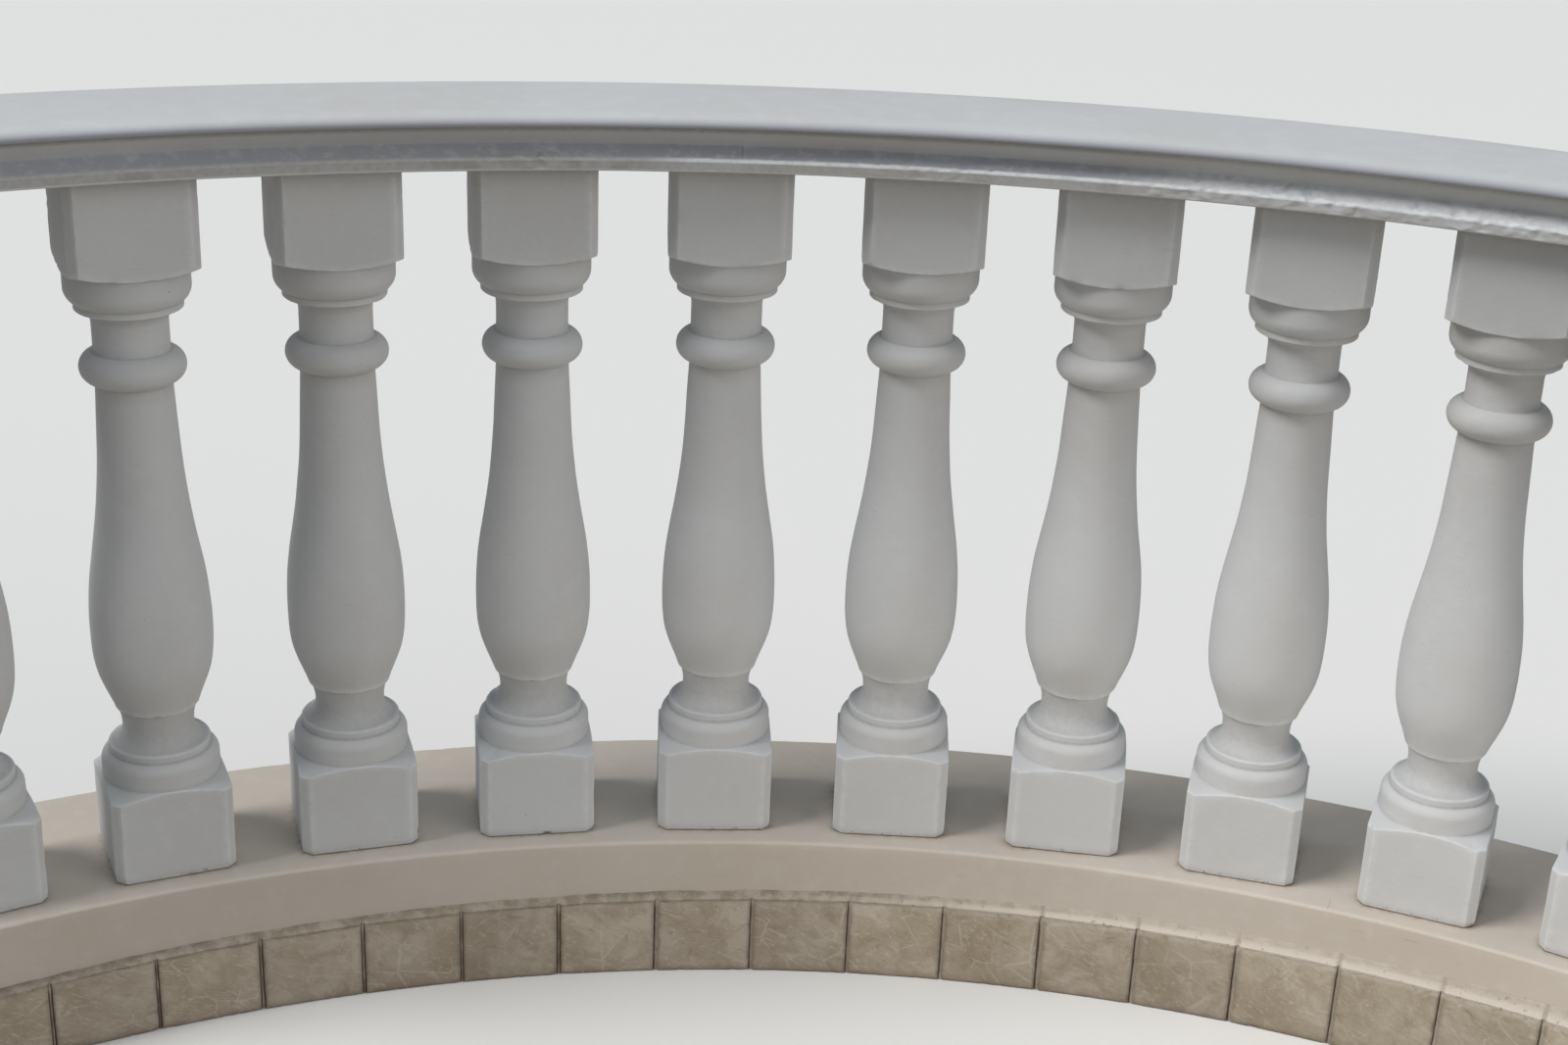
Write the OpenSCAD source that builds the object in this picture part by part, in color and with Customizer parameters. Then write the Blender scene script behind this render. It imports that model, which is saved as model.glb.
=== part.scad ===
// Curved stone balustrade: ten turned balusters on a low kerb, under a moulded handrail.
// Millimetres. Z is up, Y points to the outer side of the curve, X runs along it.
// The origin is under the middle of the part, on the plane that the kerb stands on.

/* [Curve] */
// radius of the circle that the baluster axes stand on
arc_r = 1772; // [1400:4:2600]
// angle from one baluster to the next, in degrees
step_deg = 6.92; // [6:0.02:9]

/* [Baluster] */
// height of one baluster without its mortar beds
bal_h = 792; // [740:2:900]
// width of the square blocks, across the flats
block_w = 133.5; // [126:0.5:150]
// leg of the chamfer on the upright corners of the blocks
block_chamfer = 9.5; // [4:0.5:20]
// height of the lower block at the middle of a face
base_block_h = 103; // [80:1:130]
// height of the upper block at the middle of a face
cap_block_h = 105; // [80:1:130]
// radius of the dome turned onto the ends of the blocks
dome_r = 228; // [150:1:400]
// radius of the ring on the lower block
ring_r = 64.5; // [60:0.5:66]
// height of the ring on the lower block
ring_h = 30; // [16:1:40]
// rounding of the upper edge of that ring
ring_round = 12; // [4:0.5:16]
// radius of the fillet on the ring
foot_fillet_r = 55.5; // [50:0.5:58]
// height of the fillet between the ring and the hollow
foot_fillet_h = 9; // [5:1:16]
// radius of the narrow neck above the hollow
foot_neck_r = 39; // [32:0.5:44]
// height of the hollow above the fillet
foot_hollow_h = 19; // [12:1:26]
// height of the narrow neck between the hollow and the vase
foot_neck_h = 26; // [20:1:40]
// radius where the vase starts
vase_foot_r = 46; // [42:0.5:52]
// largest radius of the vase
belly_r = 65.5; // [58:0.5:67]
// height of the widest place above the foot of the vase
belly_rise = 92; // [60:1:120]
// radius of the shaft under the necking ring
shaft_r = 40; // [34:0.5:44]
// radius of the necking ring
astragal_r = 55.5; // [50:0.5:60]
// height of the necking ring
astragal_h = 35; // [28:1:38]
// height of the neck between the necking ring and the cap fillet
cap_neck_h = 46; // [30:1:60]
// radius of the cap fillet
cap_fillet_r = 56; // [50:0.5:60]
// height of the cap fillet
cap_fillet_h = 8; // [5:1:14]
// largest radius of the cushion under the upper block
cushion_r = 65; // [60:0.5:66]
// height of the cushion under the upper block
cushion_h = 35; // [26:1:42]

/* [Mortar] */
// thickness of the mortar under and over each baluster
bed_h = 4; // [2:0.5:8]
// how far the mortar stays back from the faces of the block
bed_inset = 1.5; // [0.5:0.5:5]

/* [Handrail] */
// width of the handrail at its rounded edges
rail_w = 198; // [188:1:240]
// width of the narrow fascia at the bottom of the handrail
rail_foot_w = 186; // [176:2:220]
// height of that fascia
rail_foot_h = 14; // [8:1:24]
// height of the hollow between the fascia and the rounded edge
rail_hollow_h = 32; // [26:1:44]
// how deep the hollow cuts in behind the fascia
rail_hollow_depth = 18; // [8:1:26]
// thickness of the rounded edge
rail_edge_h = 12.5; // [10:0.5:20]
// rounding of the upper side of that edge
rail_edge_round = 9; // [4:0.5:9.5]
// rise of the crown in the middle of the top
rail_crown = 2.5; // [1:0.5:12]
// place of the joint between the two lengths of handrail, in degrees from the middle
rail_joint_deg = -3.15; // [-5:0.05:5]

/* [Kerb] */
// from the baluster axes to the inner face of the kerb
kerb_inner = 94; // [92:1:130]
// from the baluster axes to the outer face of the kerb
kerb_outer = 172; // [120:1:220]
// height of the kerb
kerb_h = 170; // [150:1:240]
// rounding of the upper edges of the kerb
kerb_round = 4; // [1:0.5:8]

/* [Skirting] */
// thickness of the tiled skirting
skirting_t = 12; // [8:1:20]
// height of the tiled skirting
skirting_h = 100; // [80:1:130]
// height of the sloped render on the skirting
bevel_h = 8; // [4:1:16]
// adhesive gap behind the skirting
skirting_gap = 0.3; // [0.2:0.1:0.6]

/* [Hidden] */
$fn = 96;
eps = 0.01;
baluster_count = 10;
// how each baluster stands, from the left: its turn in degrees and its shift along the curve in mm
laid = [
  [0, 0], [0, 0], [0.2, 0.5], [-0.4, -1], [0, 0.5],
  [1.4, 1], [2.2, 0], [1.8, -0.5], [1.8, 0], [0, 0]
];
// half of the angle that the part covers
half_deg = baluster_count / 2 * step_deg;
kerb_in_r = arc_r - kerb_inner;
kerb_out_r = arc_r + kerb_outer;
skirting_back_r = kerb_in_r - skirting_gap;
skirting_front_r = skirting_back_r - skirting_t;
// distance from the centre of the curve to the origin, half way through the depth of the part
origin_y = (kerb_out_r + skirting_front_r * cos(half_deg)) / 2;

// heights of the members, from the bottom of the baluster
ring_top_z = base_block_h + 1 + ring_h;
foot_fillet_z = ring_top_z + foot_fillet_h;
foot_hollow_z = foot_fillet_z + foot_hollow_h;
foot_hollow_depth = foot_fillet_r - foot_neck_r;
vase_z = foot_hollow_z + foot_neck_h;
cushion_z = bal_h - cap_block_h - cushion_h;
cap_fillet_z = cushion_z - cap_fillet_h;
astragal_top_z = cap_fillet_z - cap_neck_h;
astragal_z = astragal_top_z - astragal_h;
vase_h = astragal_z - vase_z;
dome_drop = sqrt(pow(dome_r, 2) - pow(block_w / 2, 2));

rail_z = kerb_h + 2 * bed_h + bal_h;
rail_edge_z = rail_foot_h + rail_hollow_h;
rail_side_z = rail_edge_z + rail_edge_h;
rail_half = rail_w / 2;
crown_half = rail_half - rail_edge_round;
crown_r = (pow(crown_half, 2) + pow(rail_crown, 2)) / (2 * rail_crown);

// a point on a cubic curve, t from 0 to 1
function cubic(a, b, c, d, t) =
  a * pow(1 - t, 3) + b * 3 * t * pow(1 - t, 2) + c * 3 * t * t * (1 - t) + d * pow(t, 3);

// stands its children on baluster axis n, counted from the left as seen from inside the curve
module on_axis(n) {
  translate([0, -origin_y, 0])
    rotate([0, 0, -(n - (baluster_count + 1) / 2) * step_deg])
      translate([laid[n - 1][1], arc_r, 0])
        rotate([0, 0, laid[n - 1][0]])
          children();
}

// sweeps a section along the curve between two angles, positive to the right
module along_curve(from_deg, to_deg) {
  translate([0, -origin_y, 0])
    rotate([0, 0, 90 - to_deg])
      rotate_extrude(angle = to_deg - from_deg, $fn = 720)
        children();
}

// plan of a square block with chamfered corners
module block_plan(w, chamfer) {
  h = w / 2;
  f = h - chamfer;
  polygon([[f, -h], [h, -f], [h, f], [f, h], [-f, h], [-h, f], [-h, -f], [-f, -h]]);
}

// lower block: its top is turned to a dome, which leaves an arched edge on each face
module base_block() {
  intersection() {
    linear_extrude(base_block_h + 8)
      block_plan(block_w, block_chamfer);
    translate([0, 0, base_block_h - dome_drop])
      sphere(r = dome_r);
  }
}

// upper block: its underside is turned to the same dome
module cap_block() {
  intersection() {
    translate([0, 0, bal_h - cap_block_h - 8])
      linear_extrude(cap_block_h + 8)
        block_plan(block_w, block_chamfer);
    translate([0, 0, bal_h - cap_block_h + dome_drop])
      sphere(r = dome_r);
  }
}

// half section of the ring, fillet and hollow below the vase
module foot_section() {
  translate([0, base_block_h - 20])
    square([ring_r, 20 + 1 + ring_h - ring_round]);
  translate([0, ring_top_z - ring_round - eps])
    square([ring_r - ring_round, ring_round + eps]);
  translate([ring_r - ring_round, ring_top_z - ring_round])
    circle(r = ring_round);
  translate([0, ring_top_z - 3])
    square([foot_fillet_r - 1.5, foot_fillet_h + 3]);
  translate([0, ring_top_z - 3])
    square([foot_fillet_r, foot_fillet_h + 1.5]);
  translate([foot_fillet_r - 1.5, foot_fillet_z - 1.5])
    circle(r = 1.5);
  difference() {
    translate([0, foot_fillet_z - 1])
      square([foot_fillet_r - 1.5, foot_hollow_h + 1]);
    translate([foot_fillet_r, foot_hollow_z])
      scale([foot_hollow_depth, foot_hollow_h])
        circle(r = 1);
  }
  translate([0, foot_hollow_z - 2])
    square([foot_neck_r, foot_neck_h + 3]);
  flare = [for (i = [0 : 7])
    cubic([foot_neck_r, 0], [foot_neck_r, 11], [foot_neck_r + 3.6, 18], [vase_foot_r - 2.6, 23], i / 7)];
  translate([0, vase_z - 24])
    polygon(concat([[0, 0]], flare, [[vase_foot_r - 3, 25], [0, 25]]));
  translate([vase_foot_r - 3, vase_z + 1])
    circle(r = 3);
}

// half section of the vase: two cubic curves that meet at the belly
module vase_section() {
  rise = vase_h - belly_rise;
  top_r = shaft_r + 3.5;
  lower = [for (i = [0 : 11])
    cubic([vase_foot_r, 1], [vase_foot_r + 14, belly_rise * 0.41],
          [belly_r, belly_rise * 0.47], [belly_r, belly_rise], i / 12)];
  upper = [for (i = [0 : 16])
    cubic([belly_r, belly_rise], [belly_r, belly_rise + rise * 0.285],
          [top_r + 6.7, belly_rise + rise * 0.334], [top_r, belly_rise + rise * 0.735], i / 16)];
  translate([0, vase_z])
    polygon(concat([[0, 1]], lower, upper, [[shaft_r, vase_h], [shaft_r, vase_h + 6], [0, vase_h + 6]]));
}

// half section from the necking ring to the upper block
module cap_section() {
  ring_half = astragal_h / 2;
  translate([astragal_r - ring_half, astragal_z + ring_half])
    circle(r = ring_half);
  translate([0, astragal_z])
    square([astragal_r - ring_half, astragal_h]);
  cove = cap_fillet_r - 4 - shaft_r;
  translate([0, astragal_top_z - 6])
    square([shaft_r - 0.5, cap_neck_h + 8]);
  difference() {
    translate([0, cap_fillet_z - cove])
      square([cap_fillet_r - 4, cove + 1]);
    translate([cap_fillet_r - 4, cap_fillet_z - cove])
      circle(r = cove);
  }
  translate([0, cap_fillet_z])
    square([cap_fillet_r, cap_fillet_h]);
  swell = cushion_h * 0.57;
  swell_z = cushion_z + swell - 4;
  intersection() {
    translate([cushion_r - swell, swell_z])
      circle(r = swell);
    translate([0, cushion_z - 1])
      square([cushion_r + 1, swell - 3]);
  }
  translate([0, cushion_z - 1])
    square([cushion_r - swell, cushion_h + 12]);
  translate([0, swell_z])
    square([cushion_r, cushion_z + cushion_h + 11 - swell_z]);
}

// one baluster, bottom at z = 0
module baluster() {
  color("#d9d9d6") {
    base_block();
    rotate_extrude() {
      foot_section();
      vase_section();
      cap_section();
    }
    cap_block();
  }
}

module baluster_at(n) {
  translate([0, 0, kerb_h + bed_h])
    on_axis(n)
      baluster();
}

// one bed of mortar, z is its underside
module bed_at(n, z) {
  color("#8f887c")
    translate([0, 0, z])
      on_axis(n)
        linear_extrude(bed_h)
          block_plan(block_w - 2 * bed_inset, block_chamfer);
}

module base_bed_at(n) {
  bed_at(n, kerb_h);
}

module top_bed_at(n) {
  bed_at(n, rail_z - bed_h);
}

// what is cut away between the fascia and the rounded edge, on the side where x is positive
module rail_hollow() {
  foot_half = rail_foot_w / 2;
  neck_half = foot_half - rail_hollow_depth;
  low_z = rail_foot_h + rail_hollow_h * 0.32;
  lip = [for (a = [0 : 15 : 90]) [foot_half - 3 + 3 * cos(a), rail_foot_h - 3 + 3 * sin(a)]];
  polygon(concat(
    [[foot_half + 1, rail_foot_h - 3]], lip,
    [
      [foot_half - 5, rail_foot_h + 1], [neck_half + 2.5, low_z - 1.9], [neck_half, low_z + 0.3],
      [neck_half + 0.2, low_z + 1.7], [neck_half + 2.5, low_z + 5.7], [foot_half - 2.5, rail_edge_z - 1.4],
      [foot_half - 1.7, rail_edge_z + 0.5], [foot_half + 1, rail_edge_z + 0.5]
    ]
  ));
}

// section of the handrail about its middle, underside at 0
module rail_section() {
  low_round = rail_edge_h - rail_edge_round;
  difference() {
    translate([-rail_foot_w / 2, 0])
      square([rail_foot_w, rail_edge_z + 1]);
    for (side = [-1, 1])
      scale([side, 1])
        rail_hollow();
  }
  for (side = [-1, 1]) {
    intersection() {
      translate([side * crown_half, rail_side_z - rail_edge_round])
        circle(r = rail_edge_round);
      translate([side * crown_half - rail_edge_round, rail_side_z - rail_edge_round])
        square([2 * rail_edge_round, rail_edge_round]);
    }
    translate([side * (rail_half - low_round), rail_edge_z + low_round])
      circle(r = low_round);
  }
  translate([low_round - rail_half, rail_edge_z])
    square([2 * (rail_half - low_round), low_round]);
  translate([-crown_half, rail_edge_z])
    square([2 * crown_half, rail_edge_h]);
  intersection() {
    translate([0, rail_side_z + rail_crown - crown_r])
      circle(r = crown_r);
    translate([-crown_half, rail_side_z - 1])
      square([2 * crown_half, rail_crown + 2]);
  }
}

module rail_length(from_deg, to_deg) {
  color("#dcdcd9")
    translate([0, 0, rail_z])
      along_curve(from_deg, to_deg)
        translate([arc_r, 0])
          rail_section();
}

module kerb_section() {
  w = kerb_inner + kerb_outer;
  translate([kerb_in_r, 0]) {
    square([w, kerb_h - kerb_round]);
    translate([kerb_round, 0])
      square([w - 2 * kerb_round, kerb_h]);
    for (x = [kerb_round, w - kerb_round])
      translate([x, kerb_h - kerb_round])
        circle(r = kerb_round);
  }
}

module kerb() {
  color("#cfc6b4")
    along_curve(-half_deg, half_deg)
      kerb_section();
}

module skirting() {
  color("#a39a8a")
    along_curve(-half_deg, half_deg)
      translate([skirting_front_r, 0])
        square([skirting_t, skirting_h]);
}

module skirting_bevel() {
  color("#cfc6b4")
    along_curve(-half_deg, half_deg)
      translate([skirting_front_r, skirting_h])
        polygon([[1.5, 0], [skirting_t, 0], [skirting_t, bevel_h], [skirting_t - 2, bevel_h - 0.6],
                 [3, 2.4], [1.5, 1]]);
}

module rail_left() {
  rail_length(-half_deg, rail_joint_deg);
}

module rail_right() {
  rail_length(rail_joint_deg, half_deg);
}

kerb();
skirting();
skirting_bevel();
rail_left();
rail_right();
baluster_at(1);  // baluster_01
baluster_at(2);  // baluster_02
baluster_at(3);  // baluster_03
baluster_at(4);  // baluster_04
baluster_at(5);  // baluster_05
baluster_at(6);  // baluster_06
baluster_at(7);  // baluster_07
baluster_at(8);  // baluster_08
baluster_at(9);  // baluster_09
baluster_at(10);  // baluster_10
base_bed_at(1);  // base_bed_01
base_bed_at(2);  // base_bed_02
base_bed_at(3);  // base_bed_03
base_bed_at(4);  // base_bed_04
base_bed_at(5);  // base_bed_05
base_bed_at(6);  // base_bed_06
base_bed_at(7);  // base_bed_07
base_bed_at(8);  // base_bed_08
base_bed_at(9);  // base_bed_09
base_bed_at(10);  // base_bed_10
top_bed_at(1);  // top_bed_01
top_bed_at(2);  // top_bed_02
top_bed_at(3);  // top_bed_03
top_bed_at(4);  // top_bed_04
top_bed_at(5);  // top_bed_05
top_bed_at(6);  // top_bed_06
top_bed_at(7);  // top_bed_07
top_bed_at(8);  // top_bed_08
top_bed_at(9);  // top_bed_09
top_bed_at(10);  // top_bed_10
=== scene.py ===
from math import acos, asin, atan2, ceil, cos, degrees, dist, exp, hypot, pi, radians, sin, sqrt, tan

import bmesh
import bpy
from mathutils import Matrix, Vector, noise


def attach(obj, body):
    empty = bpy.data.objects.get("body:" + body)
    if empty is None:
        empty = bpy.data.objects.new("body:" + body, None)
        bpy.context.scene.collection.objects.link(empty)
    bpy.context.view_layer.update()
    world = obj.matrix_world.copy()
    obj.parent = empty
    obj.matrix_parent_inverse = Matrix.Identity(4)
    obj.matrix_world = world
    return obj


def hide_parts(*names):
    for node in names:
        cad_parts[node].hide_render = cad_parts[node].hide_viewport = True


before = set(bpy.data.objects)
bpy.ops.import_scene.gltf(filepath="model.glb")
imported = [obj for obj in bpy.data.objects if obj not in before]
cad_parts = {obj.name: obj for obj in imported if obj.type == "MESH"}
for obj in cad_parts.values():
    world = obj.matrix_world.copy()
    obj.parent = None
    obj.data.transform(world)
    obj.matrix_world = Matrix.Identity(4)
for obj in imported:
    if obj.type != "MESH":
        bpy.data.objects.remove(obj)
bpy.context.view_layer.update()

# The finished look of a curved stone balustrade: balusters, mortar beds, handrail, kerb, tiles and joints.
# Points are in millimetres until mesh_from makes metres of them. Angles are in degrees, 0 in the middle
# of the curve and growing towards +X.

MM = 0.001

# Sizes repeated from the part's source.
COUNT = 10
ARC_R = 1772
STEP_DEG = 6.92
BAL_H = 792
BLOCK_W = 133.5
BLOCK_CHAMFER = 9.5
BASE_BLOCK_H = 103
CAP_BLOCK_H = 105
DOME_R = 228
RING_R = 64.5
RING_H = 30
RING_ROUND = 12
FOOT_FILLET_R = 55.5
FOOT_FILLET_H = 9
FOOT_NECK_R = 39
FOOT_HOLLOW_H = 19
FOOT_NECK_H = 26
VASE_FOOT_R = 46
BELLY_R = 65.5
BELLY_RISE = 92
SHAFT_R = 40
ASTRAGAL_R = 55.5
ASTRAGAL_H = 35
CAP_NECK_H = 46
CAP_FILLET_R = 56
CAP_FILLET_H = 8
CUSHION_R = 65
CUSHION_H = 35
BED_H = 4
BED_INSET = 1.5
RAIL_W = 198
RAIL_FOOT_W = 186
RAIL_FOOT_H = 14
RAIL_HOLLOW_H = 32
RAIL_HOLLOW_DEPTH = 18
RAIL_EDGE_H = 12.5
RAIL_EDGE_ROUND = 9
RAIL_CROWN = 2.5
RAIL_JOINT_DEG = -3.15
KERB_INNER = 94
KERB_OUTER = 172
KERB_H = 170
KERB_ROUND = 4
SKIRTING_T = 12
SKIRTING_H = 100
SKIRTING_GAP = 0.3
# how each baluster stands: its turn in degrees and its shift along the curve
LAID = ((0, 0), (0, 0), (0.2, 0.5), (-0.4, -1), (0, 0.5),
        (1.4, 1), (2.2, 0), (1.8, -0.5), (1.8, 0), (0, 0))

HALF_DEG = COUNT / 2 * STEP_DEG
KERB_IN_R = ARC_R - KERB_INNER
KERB_OUT_R = ARC_R + KERB_OUTER
SKIRTING_BACK_R = KERB_IN_R - SKIRTING_GAP
SKIRTING_FRONT_R = SKIRTING_BACK_R - SKIRTING_T
ORIGIN_Y = (KERB_OUT_R + SKIRTING_FRONT_R * cos(radians(HALF_DEG))) / 2
RAIL_Z = KERB_H + 2 * BED_H + BAL_H
BLOCK_HALF = BLOCK_W / 2
DOME_DROP = sqrt(DOME_R ** 2 - BLOCK_HALF ** 2)


def mix(a, b, t):
    return a + (b - a) * t


def smooth(a, b, x):
    """0 up to a and 1 from b on, with a soft rise between them. a may also be the larger one."""
    t = min(max((x - a) / (b - a), 0), 1)
    return t * t * (3 - 2 * t)


def bezier(radii, heights, low, steps):
    """Points (radius, height) along a curve from four radii and four heights over low."""
    def at(t, a, b, c, d):
        s = 1 - t
        return a * s ** 3 + 3 * b * t * s * s + 3 * c * t * t * s + d * t ** 3
    shares = [k / steps for k in range(steps + 1)]
    return [(at(t, *radii), low + at(t, *heights)) for t in shares]


def arc_points(cx, cz, r, from_deg, to_deg, steps):
    turns = [radians(mix(from_deg, to_deg, k / steps)) for k in range(steps + 1)]
    return [(cx + r * cos(a), cz + r * sin(a)) for a in turns]


def chain(points, longest):
    """The points with more between them, no further apart than longest."""
    out = [points[0]]
    for a, b in zip(points, points[1:]):
        count = ceil(dist(a, b) / longest)
        out += [(mix(a[0], b[0], k / count), mix(a[1], b[1], k / count)) for k in range(1, count + 1)]
    return out


def grain(x, y, z, size, seed):
    """Smooth noise from -1 to 1 with features about as large as size."""
    place = Vector((x / size + seed * 7.31, y / size - seed * 3.17, z / size + seed * 5.77))
    return noise.noise(place)


def on_arc(rho, deg, z):
    a = radians(deg)
    return Vector((rho * sin(a), rho * cos(a) - ORIGIN_Y, z))


def axis_matrix(n, z):
    """The place of baluster n, at height z."""
    turn, shift = LAID[n - 1]
    return (Matrix.Translation((0, -ORIGIN_Y, z))
            @ Matrix.Rotation(radians(-(n - (COUNT + 1) / 2) * STEP_DEG), 4, "Z")
            @ Matrix.Translation((shift, ARC_R, 0))
            @ Matrix.Rotation(radians(turn), 4, "Z"))


def stand(mesh, n, z):
    """Carries a mesh made round the origin to baluster n, at height z."""
    mesh.transform(Matrix.Scale(MM, 4) @ axis_matrix(n, z) @ Matrix.Scale(1 / MM, 4))
    mesh.update()


def tube_faces(rings, count, capped=True):
    """Faces between rings of count points each, and over both ends."""
    faces = []
    for s in range(rings - 1):
        for i in range(count):
            a = s * count + i
            b = s * count + (i + 1) % count
            faces.append((a, b, b + count, a + count))
    if capped:
        faces.append(tuple(reversed(range(count))))
        faces.append(tuple(range((rings - 1) * count, rings * count)))
    return faces


def mesh_from(name, verts, faces, sharp_deg=42):
    """A smooth-shaded mesh from millimetre points, with its faces turned outward."""
    mesh = bpy.data.meshes.new(name)
    mesh.from_pydata([v * MM for v in verts], [], faces)
    bm = bmesh.new()
    bm.from_mesh(mesh)
    big = [f for f in bm.faces if len(f.verts) > 4]
    bmesh.ops.triangulate(bm, faces=big, ngon_method="EAR_CLIP")
    bmesh.ops.recalc_face_normals(bm, faces=bm.faces)
    bm.to_mesh(mesh)
    bm.free()
    mesh.polygons.foreach_set("use_smooth", [True] * len(mesh.polygons))
    mesh.set_sharp_from_angle(angle=radians(sharp_deg))
    return mesh


def weigh(mesh, **columns):
    """Stores one number per vertex under each name, for the materials to read."""
    for key, values in columns.items():
        mesh.attributes.new(key, "FLOAT", "POINT").data.foreach_set("value", values)


def push(mesh, distance):
    """Moves each vertex along its normal by distance(index, point, normal)."""
    moved = [v.co + v.normal * distance(v.index, v.co / MM, v.normal) * MM for v in mesh.vertices]
    for v, co in zip(mesh.vertices, moved):
        v.co = co
    mesh.update()


def put(name, data, matrix=Matrix(), **settings):
    """Sets up the data and puts an object with it into the scene."""
    for key, value in settings.items():
        setattr(data, key, value)
    obj = bpy.data.objects.new(name, data)
    bpy.context.scene.collection.objects.link(obj)
    obj.matrix_world = matrix
    return obj


def piece(name, mesh, material, node):
    obj = put(name, mesh)
    mesh.materials.append(material)
    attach(obj, "root")
    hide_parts(node)


def linear(code):
    """The shader's value of a screen colour that is written in hexadecimal."""
    levels = [level / 255 for level in bytes.fromhex(code)]
    return tuple(v / 12.92 if v <= 0.04045 else ((v + 0.055) / 1.055) ** 2.4 for v in levels)


class Nodes:
    """Builds the nodes of a material or of the world."""

    def __init__(self, owner):
        owner.use_nodes = True
        self.tree = owner.node_tree

    def join(self, source, target):
        """Gives an input a number, a screen colour, a tuple of numbers or another node's output."""
        if isinstance(source, str):
            source = linear(source)
        if isinstance(source, (int, float)):
            target.default_value = source
        elif isinstance(source, tuple):
            target.default_value = (*source, 1)[:len(target.default_value)]
        else:
            self.tree.links.new(source, target)

    def add(self, kind, feeds=(), **settings):
        node = self.tree.nodes.new("ShaderNode" + kind)
        for key, value in settings.items():
            setattr(node, key, value)
        for socket, source in dict(feeds).items():
            self.join(source, node.inputs[socket])
        return node

    def math(self, operation, *values, clamp=False):
        return self.add("Math", enumerate(values), operation=operation, use_clamp=clamp).outputs[0]

    def times(self, a, b, clamp=False):
        return self.math("MULTIPLY", a, b, clamp=clamp)

    def ramp(self, value, low, high, to_low=0, to_high=1):
        feeds = enumerate((value, low, high, to_low, to_high))
        return self.add("MapRange", feeds, interpolation_type="SMOOTHSTEP").outputs["Result"]

    def mix(self, amount, a, b, kind="RGBA"):
        return self.add("Mix", {"Factor": amount, "A": a, "B": b}, data_type=kind).outputs["Result"]

    def split(self, vector):
        return self.add("SeparateXYZ", {0: vector}).outputs


class Surface(Nodes):
    """Builds one procedural material, coat on coat and relief on relief."""

    def __init__(self, name, body):
        self.material = bpy.data.materials.new(name)
        super().__init__(self.material)
        self.shader = self.tree.nodes["Principled BSDF"]
        self.where = self.add("TexCoord").outputs["Object"]
        self.colour = body
        self.relief = {}

    def noise(self, scale, detail, rough=0.5, place=None, distort=0):
        feeds = {"Vector": place or self.where, "Scale": scale, "Detail": detail, "Roughness": rough,
                 "Distortion": distort}
        return self.add("TexNoise", feeds).outputs["Fac"]

    def cells(self, scale, place=None, feature="F1"):
        feeds = {"Vector": place or self.where, "Scale": scale}
        return self.add("TexVoronoi", feeds, feature=feature).outputs

    def specks(self, scale, share, size):
        """Sparse round specks: 1 inside, 0 outside. share is how many cells have one."""
        cells = self.cells(scale)
        red = self.add("SeparateColor", {0: cells["Color"]}).outputs["Red"]
        chosen = self.math("LESS_THAN", red, share)
        return self.times(chosen, self.ramp(cells["Distance"], size * 0.45, size, 1, 0))

    def weight(self, name):
        return self.add("Attribute", attribute_name=name).outputs["Fac"]

    def stretched(self, x, y, z, place=None):
        return self.add("Mapping", {"Vector": place or self.where, "Scale": (x, y, z)}).outputs["Vector"]

    def vector(self, *parts):
        return self.add("CombineXYZ", enumerate(parts)).outputs[0]

    def along_curve(self):
        """Coordinates along the curve, out from its centre and up, in metres."""
        parts = self.split(self.where)
        x = parts["X"]
        y = self.math("ADD", parts["Y"], ORIGIN_Y * MM)
        run = self.times(self.math("ARCTAN2", x, y), ARC_R * MM)
        out = self.math("SQRT", self.math("MULTIPLY_ADD", y, y, self.times(x, x)))
        return self.vector(run, out, parts["Z"])

    def coat(self, colour, mask, share=1):
        """Lays a colour over the one so far, by mask times share."""
        self.colour = self.mix(self.times(mask, share), self.colour, colour)

    def bump(self, height, strength, distance):
        """Lays relief over the relief so far."""
        feeds = {"Height": height, "Strength": strength, "Distance": distance, **self.relief}
        self.relief = {"Normal": self.add("Bump", feeds).outputs["Normal"]}

    def finish(self, roughness, specular):
        feeds = {"Base Color": self.colour, "Roughness": roughness, "Specular IOR Level": specular,
                 **self.relief}
        for socket, source in feeds.items():
            self.join(source, self.shader.inputs[socket])
        return self.material


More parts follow.
